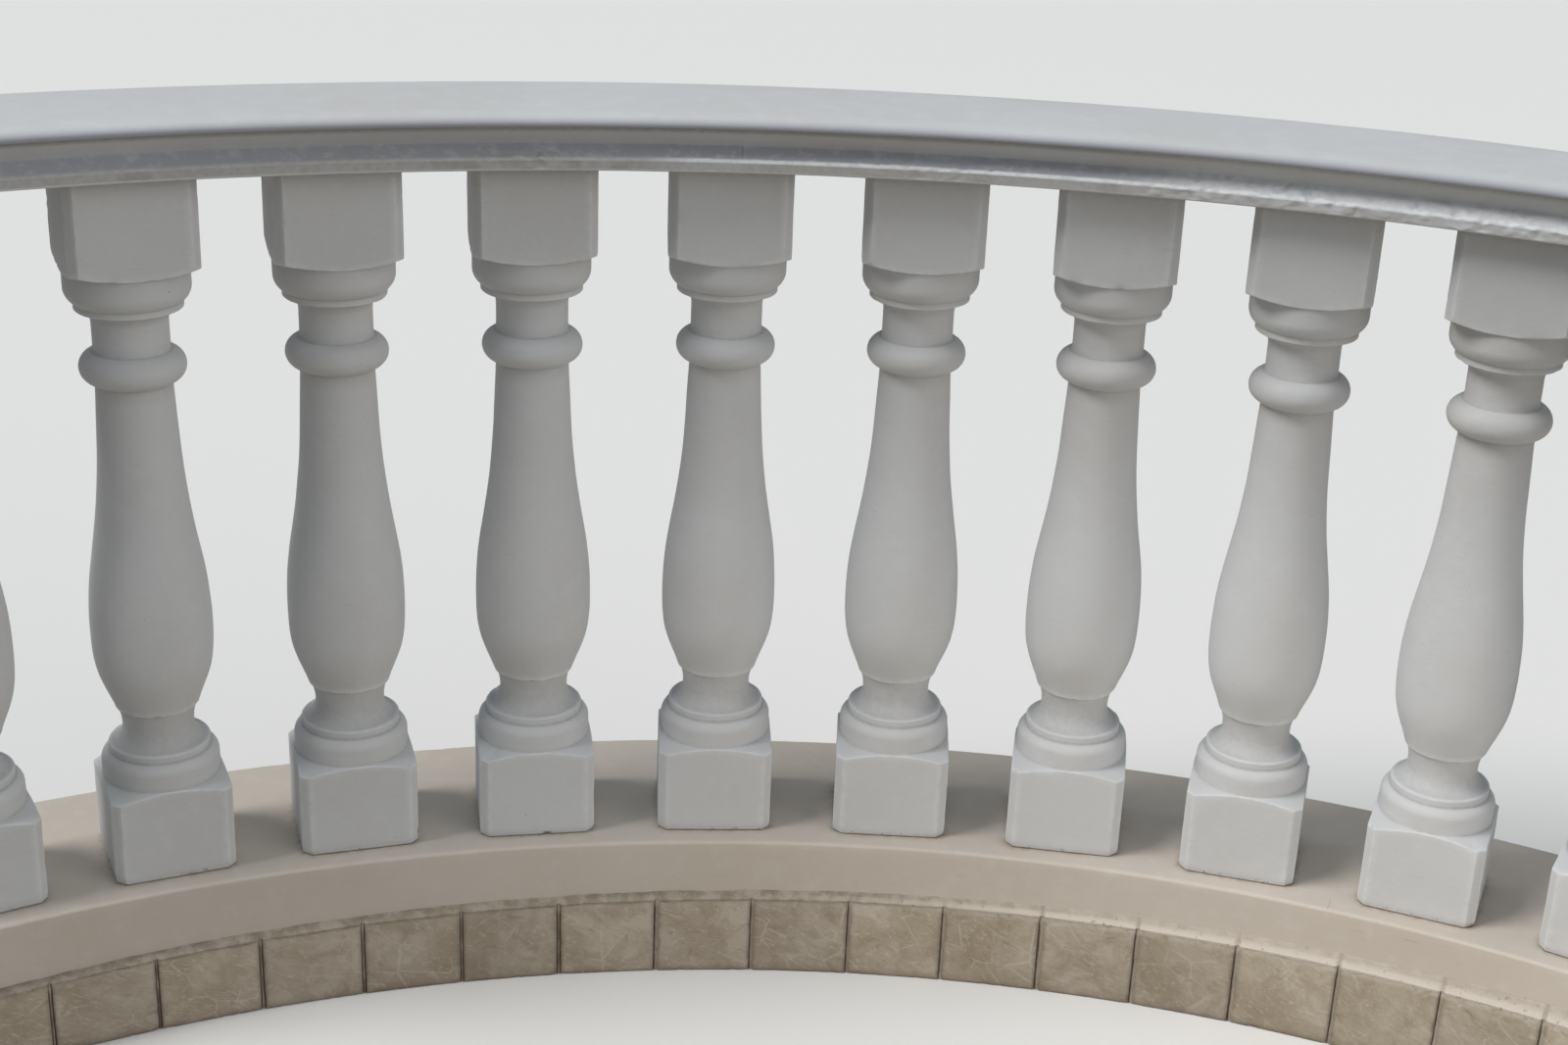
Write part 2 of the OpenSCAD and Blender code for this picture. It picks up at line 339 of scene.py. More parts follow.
def masonry_paint(name, body, warm, cool, dirt, lit, shade, speck):
    """Matte paint over cast stone: brush drag, small pits, hollows darkened by dust and painted shade,
    arrises paler from wear and a painted highlight, and painted shade under the handrail.
    """
    m = Surface(name, body)
    m.coat(warm, m.ramp(m.noise(3.5, 3, 0.55), 0.3, 0.7))
    mottle = m.noise(42, 4, 0.6)
    m.coat(cool, m.ramp(mottle, 0.45, 0.75), 0.35)
    edge = m.times(m.weight("edge"), m.ramp(m.noise(90, 2), 0.3, 0.6, 0.3, 1))
    # paler arrises: paint worn there, and a painted highlight where light catches them
    m.coat(lit, edge, 0.5)
    # painted shade in the handrail's hollow and quirk and on its overhang
    m.coat(shade, m.weight("slate"), m.ramp(m.noise(75, 4, 0.7), 0.36, 0.5, 0.6, 1))
    # painted shade on the lower part of the handrail's rounded upper edge, where it turns away from the light
    m.coat(shade, m.weight("roll"), 0.75)
    patchy = m.ramp(m.noise(130, 4, 0.65), 0.38, 0.64, 0.62, 0.9)
    # dirt in patches, together with painted shade in hollows, creases and under the handrail's roll
    m.coat(dirt, m.times(m.weight("grime"), patchy, clamp=True), 0.55)
    marks = m.math("MAXIMUM", m.specks(34, 0.09, 0.036), m.times(m.specks(120, 0.02, 0.09), 0.6))
    m.coat(speck, marks, 0.75)
    drag = m.noise(1, 3, 0.55, m.stretched(45, 45, 560))
    normal = m.split(m.add("TexCoord").outputs["Normal"])
    upright = m.ramp(m.math("ABSOLUTE", normal["Z"]), 0.3, 0.9, 1, 0)
    streak = m.times(m.ramp(drag, 0.62, 0.74), upright)
    m.coat(dirt, streak, 0.12)
    m.bump(m.math("SUBTRACT", m.noise(150, 3), m.times(marks, 1.6)), 0.3, 0.0011)
    m.bump(m.math("SUBTRACT", drag, m.times(streak, 0.8)), 0.22, 0.0006)
    m.bump(m.noise(900, 2, 0.6), 0.25, 0.0003)
    return m.finish(m.ramp(mottle, 0.2, 0.8, 0.58, 0.74), 0.4)


def kerb_paint(name, body, warm, cool, dirt, stain, lit, scratch, split, speck):
    """Cream paint on smooth render, with trowel and brush marks that follow the curve."""
    m = Surface(name, body)
    along = m.along_curve()
    m.coat(warm, m.ramp(m.noise(3, 3, 0.55, along), 0.3, 0.7))
    mottle = m.noise(45, 4, 0.6, along)
    m.coat(cool, m.ramp(mottle, 0.45, 0.75), 0.4)
    strokes = m.noise(1, 4, 0.6, m.stretched(16, 260, 260, along), 0.6)
    m.coat(dirt, m.ramp(strokes, 0.5, 0.8), 0.05)
    # short scratches that run along the render
    lines = m.ramp(m.noise(1, 3, 0.6, m.stretched(26, 700, 700, along), 0.3), 0.66, 0.72)
    broken = m.ramp(m.noise(11, 3, 0.7, along), 0.48, 0.62)
    scratches = m.times(m.times(lines, broken), m.weight("rough"), clamp=True)
    m.coat(scratch, scratches, 0.45)
    # one hairline crack, with a ragged edge
    crack = m.math("ADD", m.weight("crack"), m.math("MULTIPLY_ADD", m.noise(60, 4, 0.7), 0.5, -0.25))
    m.coat(split, m.ramp(crack, 0.55, 0.8), 0.8)
    edge = m.times(m.weight("edge"), m.ramp(m.noise(70, 2), 0.25, 0.6, 0.3, 1))
    m.coat(lit, edge, 0.15)
    patchy = m.ramp(m.noise(110, 4, 0.65), 0.36, 0.64, 0.2, 1)
    m.coat(dirt, m.times(m.weight("grime"), patchy, clamp=True), 0.7)
    rust = m.ramp(m.noise(60, 3, 0.6), 0.42, 0.66)
    m.coat(stain, m.times(m.weight("stain"), rust, clamp=True), 0.5)
    marks = m.math("MAXIMUM", m.specks(30, 0.06, 0.035), m.times(m.specks(95, 0.04, 0.1), 0.7))
    m.coat(speck, marks, 0.7)
    grit = m.noise(130, 3, 0.5, along)
    m.bump(m.math("SUBTRACT", grit, m.times(marks, 1.5)), 0.25, 0.001)
    m.bump(m.math("SUBTRACT", m.times(strokes, 0.5), scratches), 0.3, 0.001)
    m.bump(m.noise(900, 2, 0.6), 0.22, 0.0003)
    return m.finish(m.ramp(mottle, 0.2, 0.8, 0.66, 0.82), 0.35)


def stone_tile(name, body, darker, cloud, band, pale, vein, rust, pit, dirt, paint):
    """Honed beige limestone: each tile has its own tone, slanting veins, blotches and small pits."""
    m = Surface(name, body)
    tone = m.weight("tone")
    # each tile shows another place of the stone, and its veins slant
    shift = m.vector(*(m.times(tone, factor) for factor in (13, 7, 29)))
    shifted = m.add("VectorMath", {0: m.along_curve(), 1: shift}, operation="ADD")
    turn = (0, radians(-24), 0)
    place = m.add("Mapping", {"Vector": shifted.outputs[0], "Rotation": turn}).outputs["Vector"]
    m.coat(darker, m.ramp(m.noise(11, 4, 0.6, place, 0.6), 0.36, 0.64))
    m.coat(cloud, m.ramp(m.noise(20, 5, 0.62, place, 0.8), 0.42, 0.66), 0.62)
    bands = m.noise(1, 6, 0.7, m.stretched(19, 38, 36, place), 2.6)
    m.coat(band, m.ramp(bands, 0.42, 0.74), 0.4)
    brushed = m.noise(1, 5, 0.7, m.stretched(32, 80, 92, place), 3.2)
    m.coat(pale, m.ramp(brushed, 0.52, 0.7), 0.6)
    net = m.cells(1, m.stretched(18, 50, 30, place), "DISTANCE_TO_EDGE")
    m.coat(vein, m.times(m.ramp(net["Distance"], 0, 0.04, 1, 0),
                         m.ramp(m.noise(16, 3, 0.6, place), 0.46, 0.6)), 0.42)
    m.coat(rust, m.times(m.ramp(m.noise(34, 5, 0.7, place, 1.2), 0.57, 0.72),
                         m.ramp(m.noise(7, 2, 0.5, place), 0.42, 0.62)), 0.5)
    pits = m.times(m.ramp(m.noise(300, 3, 0.7, place), 0.63, 0.73),
                   m.ramp(m.noise(28, 2, 0.5, place), 0.45, 0.65))
    m.coat(pit, pits, 0.55)
    level = m.math("MULTIPLY_ADD", m.math("FRACT", m.times(tone, 41.7)), 0.18, 0.92)
    m.colour = m.add("VectorMath", {0: m.colour, "Scale": level}, operation="SCALE").outputs[0]
    m.coat(dirt, m.weight("grime"), 0.5)
    # paint on the tops, which also stands for a painted band of sunlight
    m.coat(paint, m.times(m.weight("paint"), m.ramp(m.noise(95, 4, 0.6), 0.3, 0.56), clamp=True))
    m.bump(m.math("SUBTRACT", bands, m.times(pits, 2.2)), 0.35, 0.0012)
    m.bump(m.noise(700, 3, 0.6), 0.25, 0.0004)
    return m.finish(m.ramp(bands, 0.2, 0.8, 0.5, 0.68), 0.4)


def cement(name, body, dark, pale, cover):
    """Coarse grout or mortar, with paint over it where the weight of paint and painted sunlight says so."""
    m = Surface(name, body)
    sand = m.noise(420, 4, 0.7)
    lumps = m.noise(60, 4, 0.6)
    m.coat(dark, m.ramp(lumps, 0.35, 0.65))
    m.coat(pale, m.ramp(sand, 0.5, 0.75), 0.5)
    m.coat(cover, m.times(m.weight("paint"), m.ramp(m.noise(140, 3, 0.6), 0.25, 0.4), clamp=True))
    m.bump(lumps, 0.5, 0.002)
    m.bump(sand, 0.6, 0.0007)
    return m.finish(0.92, 0.25)


KERB_PALE = "d7d0c8"
white = masonry_paint("white_masonry_paint", body="d1d3d5", warm="cccccc", cool="d7d9dd", dirt="7c756d",
                      lit="e8ecf0", shade="8c8e9c", speck="4e4842")
cream = kerb_paint("cream_kerb_paint", body="d1c8bd", warm="cbc1b5", cool=KERB_PALE, dirt="7e7162",
                   stain="b88e66", lit=tuple(c * 1.15 for c in linear(KERB_PALE)), scratch="706252",
                   split="544a40", speck="584c40")
tile_stone = stone_tile("beige_limestone", body="c5baab", darker="aea18f", cloud="a0917d", band="988974",
                        pale="d8cfc1", vein="dad1c3", rust="7e6850", pit="5c4d3e", dirt="685b4d",
                        paint="d0c7ba")
grout = cement("joint_grout", body="988e81", dark="74695d", pale="aca396", cover="c6beb0")
lip = cement("brushed_mortar", body="aca193", dark="8c8071", pale="c2b9ac", cover="d1c8bc")
mortar = cement("bedding_mortar", body="7a7064", dark="544b41", pale="a0988d", cover="cccdcc")


def block_outline(half, chamfer, soft, face_steps):
    """Plan of a block, counterclockwise, with soft corners, and how near each point is to a corner."""
    a = half - soft
    b = half - chamfer - soft * tan(radians(22.5))
    centres = ((b, -a), (a, -b), (a, b), (b, a), (-b, a), (-a, b), (-a, -b), (-b, -a))
    arcs = [arc_points(x, y, soft, 45 * k - 90, 45 * k - 45, 4) for k, (x, y) in enumerate(centres)]
    points, corner = [], []
    for k, arc in enumerate(arcs):
        end = Vector(arc[-1])
        target = Vector(arcs[(k + 1) % 8][0])
        steps = face_steps if k % 2 == 1 else 3
        points += [Vector(p) for p in arc] + [end.lerp(target, i / steps) for i in range(1, steps)]
        corner += [0.5, 0.75, 1, 0.75, 0.5] + [0] * (steps - 1)
    return points, corner


CORNER_SOFT = 2.4
# how much paler the vertical arrises are, from wear and a painted highlight
CORNER_WEAR = 0.95
OUTLINE, CORNER = block_outline(BLOCK_HALF, BLOCK_CHAMFER, CORNER_SOFT, 18)
RHO = [p.length for p in OUTLINE]
AROUND = [(p.x / p.length, p.y / p.length) for p in OUTLINE]
# the worn arris between a block's sides and its dome, and the one at its outer end
ARRIS = 1.4
FOOT_SOFT = 0.8
# inset, rise and edge weight of the rows across the outer end's arris
END_ARRIS = ((FOOT_SOFT, 0, 0.2), (0.75, 0.3, 0.5), (0.3, 0.75, 0.5), (0, FOOT_SOFT, 0.2))
SIDE_STEPS = 16


def baluster_rows():
    """Rows of (radius, height) round the axis from the bottom up, each with its weight of grime and painted
    shade and its edge weights of wear and painted highlight.
    """
    rows = []

    def row(points, grime=0, edge=0, corners=False):
        edges = [c * CORNER_WEAR for c in CORNER] if corners else [edge] * len(RHO)
        rows.append((points, grime, edges))

    def ring(r, z, grime=0, edge=0):
        row([(r, z)] * len(RHO), grime, edge)

    def rings(points, grime=0, edge=0):
        for r, z in points:
            ring(r, z, grime, edge)

    def dome_low(r):
        return BASE_BLOCK_H - DOME_DROP + sqrt(DOME_R ** 2 - r * r)

    def dome_high(r):
        return BAL_H - CAP_BLOCK_H + DOME_DROP - sqrt(DOME_R ** 2 - r * r)

    def block(z_end, up, z_of, seat_r, end_dust, side_dust, fade, wear):
        """From a block's outer end up its sides, over its soft arris and along its dome to the seat."""
        # the block's ends and the sides next to them are darkened, with painted shade where they meet the
        # kerb and the handrail
        for share in (0.35, 0.7):
            row([((rho - FOOT_SOFT) * share, z_end) for rho in RHO], end_dust)
        for inset, rise, edge in END_ARRIS:
            row([(rho - inset, z_end + up * rise) for rho in RHO], end_dust, edge)
        for k in range(1, SIDE_STEPS):
            t = k / SIDE_STEPS
            points = [(rho, mix(z_end + up * FOOT_SOFT, z_of(rho) - up * ARRIS, t)) for rho in RHO]
            row(points, side_dust * exp(-t * fade), corners=True)
        for t in (0, 0.2, 0.4, 0.6, 0.8, 1):
            heights = [mix(z_of(rho), z_of(rho - ARRIS), t * t) - up * ARRIS * (1 - t) ** 2 for rho in RHO]
            points = [(rho - ARRIS * t * t, z) for rho, z in zip(RHO, heights)]
            row(points, 0, wear * (1 - abs(t - 0.5) * 1.2))
        for t in (0.2, 0.4, 0.6, 0.8, 0.93):
            radii = [mix(rho - ARRIS, seat_r + 0.7, t) for rho in RHO]
            row([(r, z_of(r)) for r in radii], 0.3 * t ** 6)

    block(0, 1, dome_low, RING_R, end_dust=0.35, side_dust=0.22, fade=24, wear=1)

    # ring, fillet, hollow and neck
    seat = dome_low(RING_R)
    # painted shade in the crease where the ring sits on the dome
    ring(RING_R + 0.25, seat + 0.25, 0.7)
    ring(RING_R, seat + 1, 0.35)
    ring_top = BASE_BLOCK_H + 1 + RING_H
    side_top = ring_top - RING_ROUND
    for t in (0.3, 0.65, 1):
        ring(RING_R, mix(seat + 1, side_top, t), 0.06 * (1 - t))
    # the rounding runs on until it meets the fillet
    last_turn = degrees(acos((FOOT_FILLET_R + 0.4 - RING_R + RING_ROUND) / RING_ROUND))
    rounding = arc_points(RING_R - RING_ROUND, side_top, RING_ROUND, 0, last_turn, 9)
    rings(rounding[1:5], 0, 0.1)
    rings(rounding[5:8])
    ring(*rounding[8], 0.25)
    ring(*rounding[9], 0.8)
    fillet_z = ring_top + FOOT_FILLET_H
    ring(FOOT_FILLET_R, ring_top + 1, 0.6)
    for t in (0.35, 0.7):
        ring(FOOT_FILLET_R, mix(ring_top, fillet_z, t), 0.1)
    rings(arc_points(FOOT_FILLET_R - 1.5, fillet_z - 1.5, 1.5, 15, 75, 2), 0, 0.5)
    depth = FOOT_FILLET_R - FOOT_NECK_R
    # the hollow and the neck are darkened with painted shade where the vase overhangs them
    for k in range(1, 11):
        a = radians(8 + 82 * k / 10)
        ring(FOOT_FILLET_R - depth * sin(a), fillet_z + FOOT_HOLLOW_H * (1 - cos(a)), 0.5)
    vase_z = fillet_z + FOOT_HOLLOW_H + FOOT_NECK_H
    neck = bezier((FOOT_NECK_R, FOOT_NECK_R, FOOT_NECK_R + 3.4, VASE_FOOT_R - 3.2), (0, 11, 18, 22.6),
                  vase_z - 24, 7)
    for k, (r, z) in enumerate(neck):
        ring(r, z, 0.44 - 0.2 * k / 7 + 1.1 * (k == 7))
    # the lip that the vase stands on, with a painted highlight on its rim and painted shade in the crease
    # under it
    ring(VASE_FOOT_R - 2.6, vase_z - 1.2, 1.8)
    ring(VASE_FOOT_R - 1.4, vase_z - 1.3, 0.9)
    rings(arc_points(VASE_FOOT_R - 1, vase_z - 0.3, 1, -70, -10, 2), 0, 1.3)

    # vase and shaft
    vase_top = BAL_H - CAP_BLOCK_H - CUSHION_H - CAP_FILLET_H - CAP_NECK_H - ASTRAGAL_H
    rise = vase_top - vase_z - BELLY_RISE
    taper = rise * 0.735
    shaft_z = vase_z + BELLY_RISE + taper
    top_r = SHAFT_R + 3.5
    rings(bezier((VASE_FOOT_R, VASE_FOOT_R + 14, BELLY_R, BELLY_R),
                 (1, BELLY_RISE * 0.41, BELLY_RISE * 0.47, BELLY_RISE), vase_z, 16)[1:])
    rings(bezier((BELLY_R, BELLY_R, top_r + 6.7, top_r), (0, rise * 0.285, rise * 0.334, taper),
                 vase_z + BELLY_RISE, 24)[1:])
    for t in (0.25, 0.5, 0.75, 0.95):
        ring(mix(top_r, SHAFT_R, t), mix(shaft_z, vase_top, t), 0.3 * (t == 0.95))

    # necking ring
    ring_half = ASTRAGAL_H / 2
    necking = arc_points(ASTRAGAL_R - ring_half, vase_top + ring_half, ring_half, -80, 80, 16)
    ring(*necking[0], 0.7)
    rings(necking[1:-1])
    ring(*necking[-1], 0.7)

    # upper neck, cove, cap fillet and cushion
    neck_low = vase_top + ASTRAGAL_H
    cap_fillet_z = neck_low + CAP_NECK_H
    cove = CAP_FILLET_R - 4 - SHAFT_R
    for t in (0.05, 0.35, 0.65, 0.95):
        ring(SHAFT_R - 0.4, mix(neck_low, cap_fillet_z - cove, t), 0.3 * (t < 0.1))
    rings(arc_points(CAP_FILLET_R - 4, cap_fillet_z - cove, cove, 180, 92.7, 7)[1:], 0.22)
    ring(CAP_FILLET_R - 2, cap_fillet_z + 0.1, 0.3)
    ring(CAP_FILLET_R - 0.7, cap_fillet_z + 0.2, 0, 0.6)
    ring(CAP_FILLET_R, cap_fillet_z + 0.9, 0, 0.6)
    ring(CAP_FILLET_R, cap_fillet_z + CAP_FILLET_H * 0.5)
    ring(CAP_FILLET_R, cap_fillet_z + CAP_FILLET_H - 0.9, 0.4)
    swell = CUSHION_H * 0.57
    swell_z = cap_fillet_z + CAP_FILLET_H + swell - 4
    cushion = arc_points(CUSHION_R - swell, swell_z, swell, -degrees(asin((swell - 4) / swell)), 0, 8)
    ring(*cushion[0], 0.5)
    rings(cushion[1:])
    seat = dome_high(CUSHION_R)
    for t in (0.35, 0.7, 0.95):
        ring(CUSHION_R, mix(swell_z, seat, t), 0.2 * t)
    ring(CUSHION_R + 0.3, seat - 0.2, 0.9)

    # the upper block, whose arched arris carries a stronger painted highlight than the lower one's
    below = len(rows)
    block(BAL_H, -1, dome_high, CUSHION_R, end_dust=0.7, side_dust=0.35, fade=14, wear=2)
    rows[below:] = reversed(rows[below:])
    return rows


# small knocks on the arrises: baluster, direction round it in degrees, height, width, depth
KNOCKS = ((2, 232, 6, 9, 1.6), (3, 318, 3, 11, 2.2), (4, 262, 2, 8, 1.4), (4, 300, 4, 6, 1.2),
          (4, 227, 101, 7, 1.5), (5, 248, 3, 9, 1.6), (5, 296, 2, 7, 1.3), (6, 306, 24, 5, 0.9),
          (6, 233, 3, 8, 1.5), (7, 312, 2, 9, 1.7), (7, 258, 101, 6, 0.8), (8, 236, 98, 9, 1.3),
          (8, 300, 2, 8, 1.4), (9, 309, 97, 10, 1.6), (9, 246, 2, 8, 1.3), (3, 130, 3, 10, 1.8),
          (5, 45, 4, 9, 1.5), (7, 140, 100, 8, 1.4), (8, 60, 790, 8, 1.4), (6, 120, 4, 9, 1.6))
# runs of paint that dried in drips: baluster, direction, top, length, width
DRIPS = ((3, 285, 780, 26, 3), (5, 262, 152, 16, 2.6), (6, 250, 640, 18, 2.6), (8, 292, 700, 24, 2.8),
         (9, 270, 86, 22, 2.8), (4, 80, 775, 30, 3), (7, 100, 150, 18, 2.6))


def baluster_mesh(n):
    rows = baluster_rows()
    count = len(RHO)
    verts, grime, edge = [], [], []
    for points, dirty, edges in rows:
        for (r, z), (x, y), worn in zip(points, AROUND, edges):
            verts.append(Vector((r * x, r * y, z)))
            grime.append(dirty)
            edge.append(worn)
    faces = tube_faces(len(rows), count, capped=False)
    bottom = len(verts)
    verts += [Vector((0, 0, 0)), Vector((0, 0, BAL_H))]
    grime += [0, 0]
    edge += [0, 0]
    last = (len(rows) - 1) * count
    for k in range(count):
        faces.append((bottom, (k + 1) % count, k))
        faces.append((bottom + 1, last + k, last + (k + 1) % count))
    mesh = mesh_from(f"baluster_{n:02d}_mesh", verts, faces)
    knocks = [knock[1:] for knock in KNOCKS if knock[0] == n]
    drips = [drip[1:] for drip in DRIPS if drip[0] == n]

    def distance(i, p, normal):
        x, y, z = p
        worn = edge[i]
        d = 0.45 * grain(x, y, z, 95, n) + 0.22 * grain(x, y, z, 31, n) + 0.07 * grain(x, y, z, 9, n)
        d -= 0.5 * worn * smooth(0.1, 0.6, grain(x, y, z, 16, n + 20))
        d -= 1.1 * worn * smooth(0.42, 0.62, grain(x, y, z, 10, n + 40))
        around = degrees(atan2(y, x)) % 360
        r = hypot(x, y)
        for where, knock_z, wide, deep in knocks:
            side = radians((around - where + 180) % 360 - 180) * r
            span = hypot(side, z - knock_z) / wide
            if span < 1 and r > 60:
                d -= deep * (1 - span * span) * (0.7 + 0.5 * grain(x, y, z, 4, n))
        for where, drip_z, long, wide in drips:
            side = abs(radians((around - where + 180) % 360 - 180) * r)
            if side < wide * 2 and drip_z - long < z < drip_z + 4:
                down = (drip_z - z) / long
                bead = smooth(-0.1, 0.2, down) * smooth(1, 0.85, down)
                d += 0.5 * exp(-(side / wide) ** 2) * bead
        return min(d, 0.6) * smooth(0, 2, min(z, BAL_H - z))

    push(mesh, distance)
    weigh(mesh, grime=grime, edge=edge)
    stand(mesh, n, KERB_H + BED_H)
    return mesh


for n in range(1, COUNT + 1):
    piece(f"painted_baluster_{n:02d}", baluster_mesh(n), white, f"baluster_{n:02d}")

# height and bulge of each row of points round a mortar bed
BED_ROWS = ((0, 0.2), (0.6, 0.7), (1.4, 1), (2.6, 0.9), (3.4, 0.6), (BED_H, 0.2))


def bed_mesh(n, low, seed, z_painted):
    """A thin bed with an uneven, bulging rim. It is painted towards the height z_painted."""
    outline, _ = block_outline(BLOCK_HALF - BED_INSET, BLOCK_CHAMFER, 3, 26)
    verts = []
    for z, out in BED_ROWS:
        for p in outline:
            d = 0.8 + out * 0.5 + 0.25 * grain(p.x, p.y, z, 11, seed) + 0.15 * grain(p.x, p.y, z * 3, 4, seed)
            d -= 2 * smooth(0.5, 0.65, grain(p.x, p.y, 0, 24, seed + 9))
            r = p.length + min(d, 1.45)
            verts.append(Vector((p.x / p.length * r, p.y / p.length * r, z)))
    mesh = mesh_from(f"bed_{n:02d}_{low}", verts, tube_faces(len(BED_ROWS), len(outline)))
    painted = []
    for v in mesh.vertices:
        x, y, z = v.co / MM
        bare = smooth(0.4, 0.6, grain(x, y, 0, 24, seed + 9))
        painted.append((1 - 0.7 * bare) * smooth(0.2, 2.4, BED_H - abs(z - z_painted)))
    weigh(mesh, paint=painted)
    stand(mesh, n, low)
    return mesh


for n in range(1, COUNT + 1):
    piece(f"lower_mortar_{n:02d}", bed_mesh(n, KERB_H, n, BED_H), mortar, f"base_bed_{n:02d}")
    piece(f"upper_mortar_{n:02d}", bed_mesh(n, RAIL_Z - BED_H, n + 50, 0), mortar,
          f"top_bed_{n:02d}")


def stations(from_deg, to_deg, rho, step):
    count = round(radians(to_deg - from_deg) * rho / step)
    return [mix(from_deg, to_deg, k / count) for k in range(count + 1)]


def sweep(name, section, degs, shape):
    """Carries a closed section of (radius, height) points along the curve. shape may move each point."""
    verts = []
    for deg in degs:
        for i, (rho, z) in enumerate(section):
            rho, z, at = shape(rho, z, i, deg)
            verts.append(on_arc(rho, at, z))
    return mesh_from(name, verts, tube_faces(len(degs), len(section)))


def clean_ends(columns, degs, count):
    """Sets weights to 0 at the part's two ends, so that they aren't drawn across its end faces."""
    for s, deg in enumerate(degs):
        if abs(deg) > HALF_DEG - 0.001:
            for column in columns:
                column[s * count:(s + 1) * count] = [0] * count


# how far in the handrail's worn edge starts, and how far its top lies under the solid's
WORN_EDGE = 26
TOP_WEAR = 0.15


def rail_half_section():
    """Half of the handrail's section, from the middle of its underside round to the middle of its top."""
    foot = RAIL_FOOT_W / 2
    half = RAIL_W / 2
    neck = foot - RAIL_HOLLOW_DEPTH
    edge_z = RAIL_FOOT_H + RAIL_HOLLOW_H
    side_z = edge_z + RAIL_EDGE_H
    low_round = RAIL_EDGE_H - RAIL_EDGE_ROUND
    low_z = RAIL_FOOT_H + RAIL_HOLLOW_H * 0.32
    crown_half = half - RAIL_EDGE_ROUND
    crown_r = (crown_half ** 2 + RAIL_CROWN ** 2) / (2 * RAIL_CROWN)
    side = arc_points(0, 0, 1, 9, 84, 11)
    top_x = [(half - WORN_EDGE) * (1 - k / 18) for k in range(1, 19)]
    top_z = side_z + RAIL_CROWN - TOP_WEAR - crown_r
    return [
        ("under", chain([(0, 0), (foot - 2.5, 0)], 12)[1:]),
        ("foot_low", arc_points(foot - 2, 2, 2, -75, 0, 3)),
        ("foot", chain([(foot, 3), (foot, RAIL_FOOT_H - 3.6)], 1.8)),
        ("foot_top", arc_points(foot - 3, RAIL_FOOT_H - 3, 3, 8, 84, 5)),
        ("hollow", chain([(foot - 5, RAIL_FOOT_H + 1), (neck + 2.5, low_z - 1.9)], 1.6)),
        ("hollow", [(neck + 0.9, low_z - 0.7), (neck + 0.1, low_z + 0.5)]),
        ("overhang", chain([(neck + 0.3, low_z + 1.8), (neck + 2.5, low_z + 5.7)], 1.6)),
        ("overhang", chain([(neck + 3.5, low_z + 6.9), (foot - 3.2, edge_z - 2.2)], 2)),
        ("quirk", [(foot - 2.4, edge_z - 1.1), (foot - 1.7, edge_z), (foot, edge_z + 0.1)]),
        ("drip", arc_points(half - low_round, edge_z + low_round, low_round, -88, -38, 3)),
        ("edge", arc_points(half - low_round, edge_z + low_round, low_round, -20, 0, 2)),
        # worn by hands: the upper edge is flatter than a round one
        ("edge", [(half - WORN_EDGE * (1 - x), side_z - RAIL_EDGE_ROUND * (1 - z)) for x, z in side]),
        ("top", [(x, top_z + sqrt(crown_r ** 2 - x * x)) for x in top_x])]


RAIL_HALF = [(x, z, member) for member, points in rail_half_section() for x, z in points]
# the whole closed section: offset from the axis, height, and the member that each point is on
RAIL_SECTION = [(-x, z, member) for x, z, member in RAIL_HALF] + RAIL_HALF[-2::-1] + [(0, 0, "under")]
# stretches of thick, crusty paint on the inner side: from and to in degrees, and how thick
CRUSTS = ((-11.5, -9, 1), (-5.5, -3.5, 0.5), (0.5, 6.5, 0.55), (11.5, 40, 1))
THIN_CRUST = 0.16
# how lumpy the paint is on each member
LUMPS = {"foot_top": 1, "foot": 0.6, "hollow": 0.8, "overhang": 0.3, "quirk": 0.3}
# angles between which the foot's top gets its painted highlight and the inner side its painted sunlight,
# and heights over the underside between which the bands of painted shade fade in
LIT_DEG = (-7, -4.5)
FREE_DEG = (9, 14)
UNDER_ROLL = (39, 43.5)
LOW_BAND = (33, 25)
ROLL = (58, 50)


def crusty(deg):
    level = THIN_CRUST
    for start, end, thick in CRUSTS:
        level = max(level, thick * smooth(start - 1.2, start + 0.6, deg) * smooth(end + 1.2, end - 0.6, deg))
    return level


def rail_weights(member, z, deg, inner, patch):
    """Weights for a point of the handrail: grime with painted shade, wear with painted highlight, painted
    shade in the hollow and on the roll. z is its height over the underside.
    """
    lit = smooth(*LIT_DEG, deg)
    # towards the right the inner side is painted as sunlit: its hollow loses its painted shade and gets a
    # painted highlight
    free = smooth(*FREE_DEG, deg) if inner else 0
    under_roll = smooth(*UNDER_ROLL, z)
    # painted shade in the quirk, under the roll and on the foot's top where it is painted as unlit, over
    # patchy dirt on the foot
    grime = {"overhang": 0.04 + 0.6 * under_roll, "quirk": 1.3, "drip": 1.1, "under": 0.3,
             "foot_top": 0.7 * (1 - lit), "foot": 0.75 + 0.4 * patch + 0.2 * (1 - lit) - 0.6 * free}
    # painted highlight on the foot's top where it is painted as lit, and in the hollow where it is painted as
    # sunlit
    edge = {"foot_top": 1.9 * lit, "edge": 0.1, "foot_low": 0.4, "hollow": 1.2 * free}
    # painted shade on the underside: the hollow, the quirk and the overhang below the roll
    slate = {"hollow": 0.6, "overhang": 0.22 * smooth(*LOW_BAND, z) + 0.4 * under_roll,
             "quirk": 0.7, "drip": 0.4}
    # painted shade where the upper edge rolls over towards the quirk
    roll = {"edge": smooth(*ROLL, z)}
    return (grime.get(member, 0), edge.get(member, 0), slate.get(member, 0) * (1 - free),
            roll.get(member, 0))


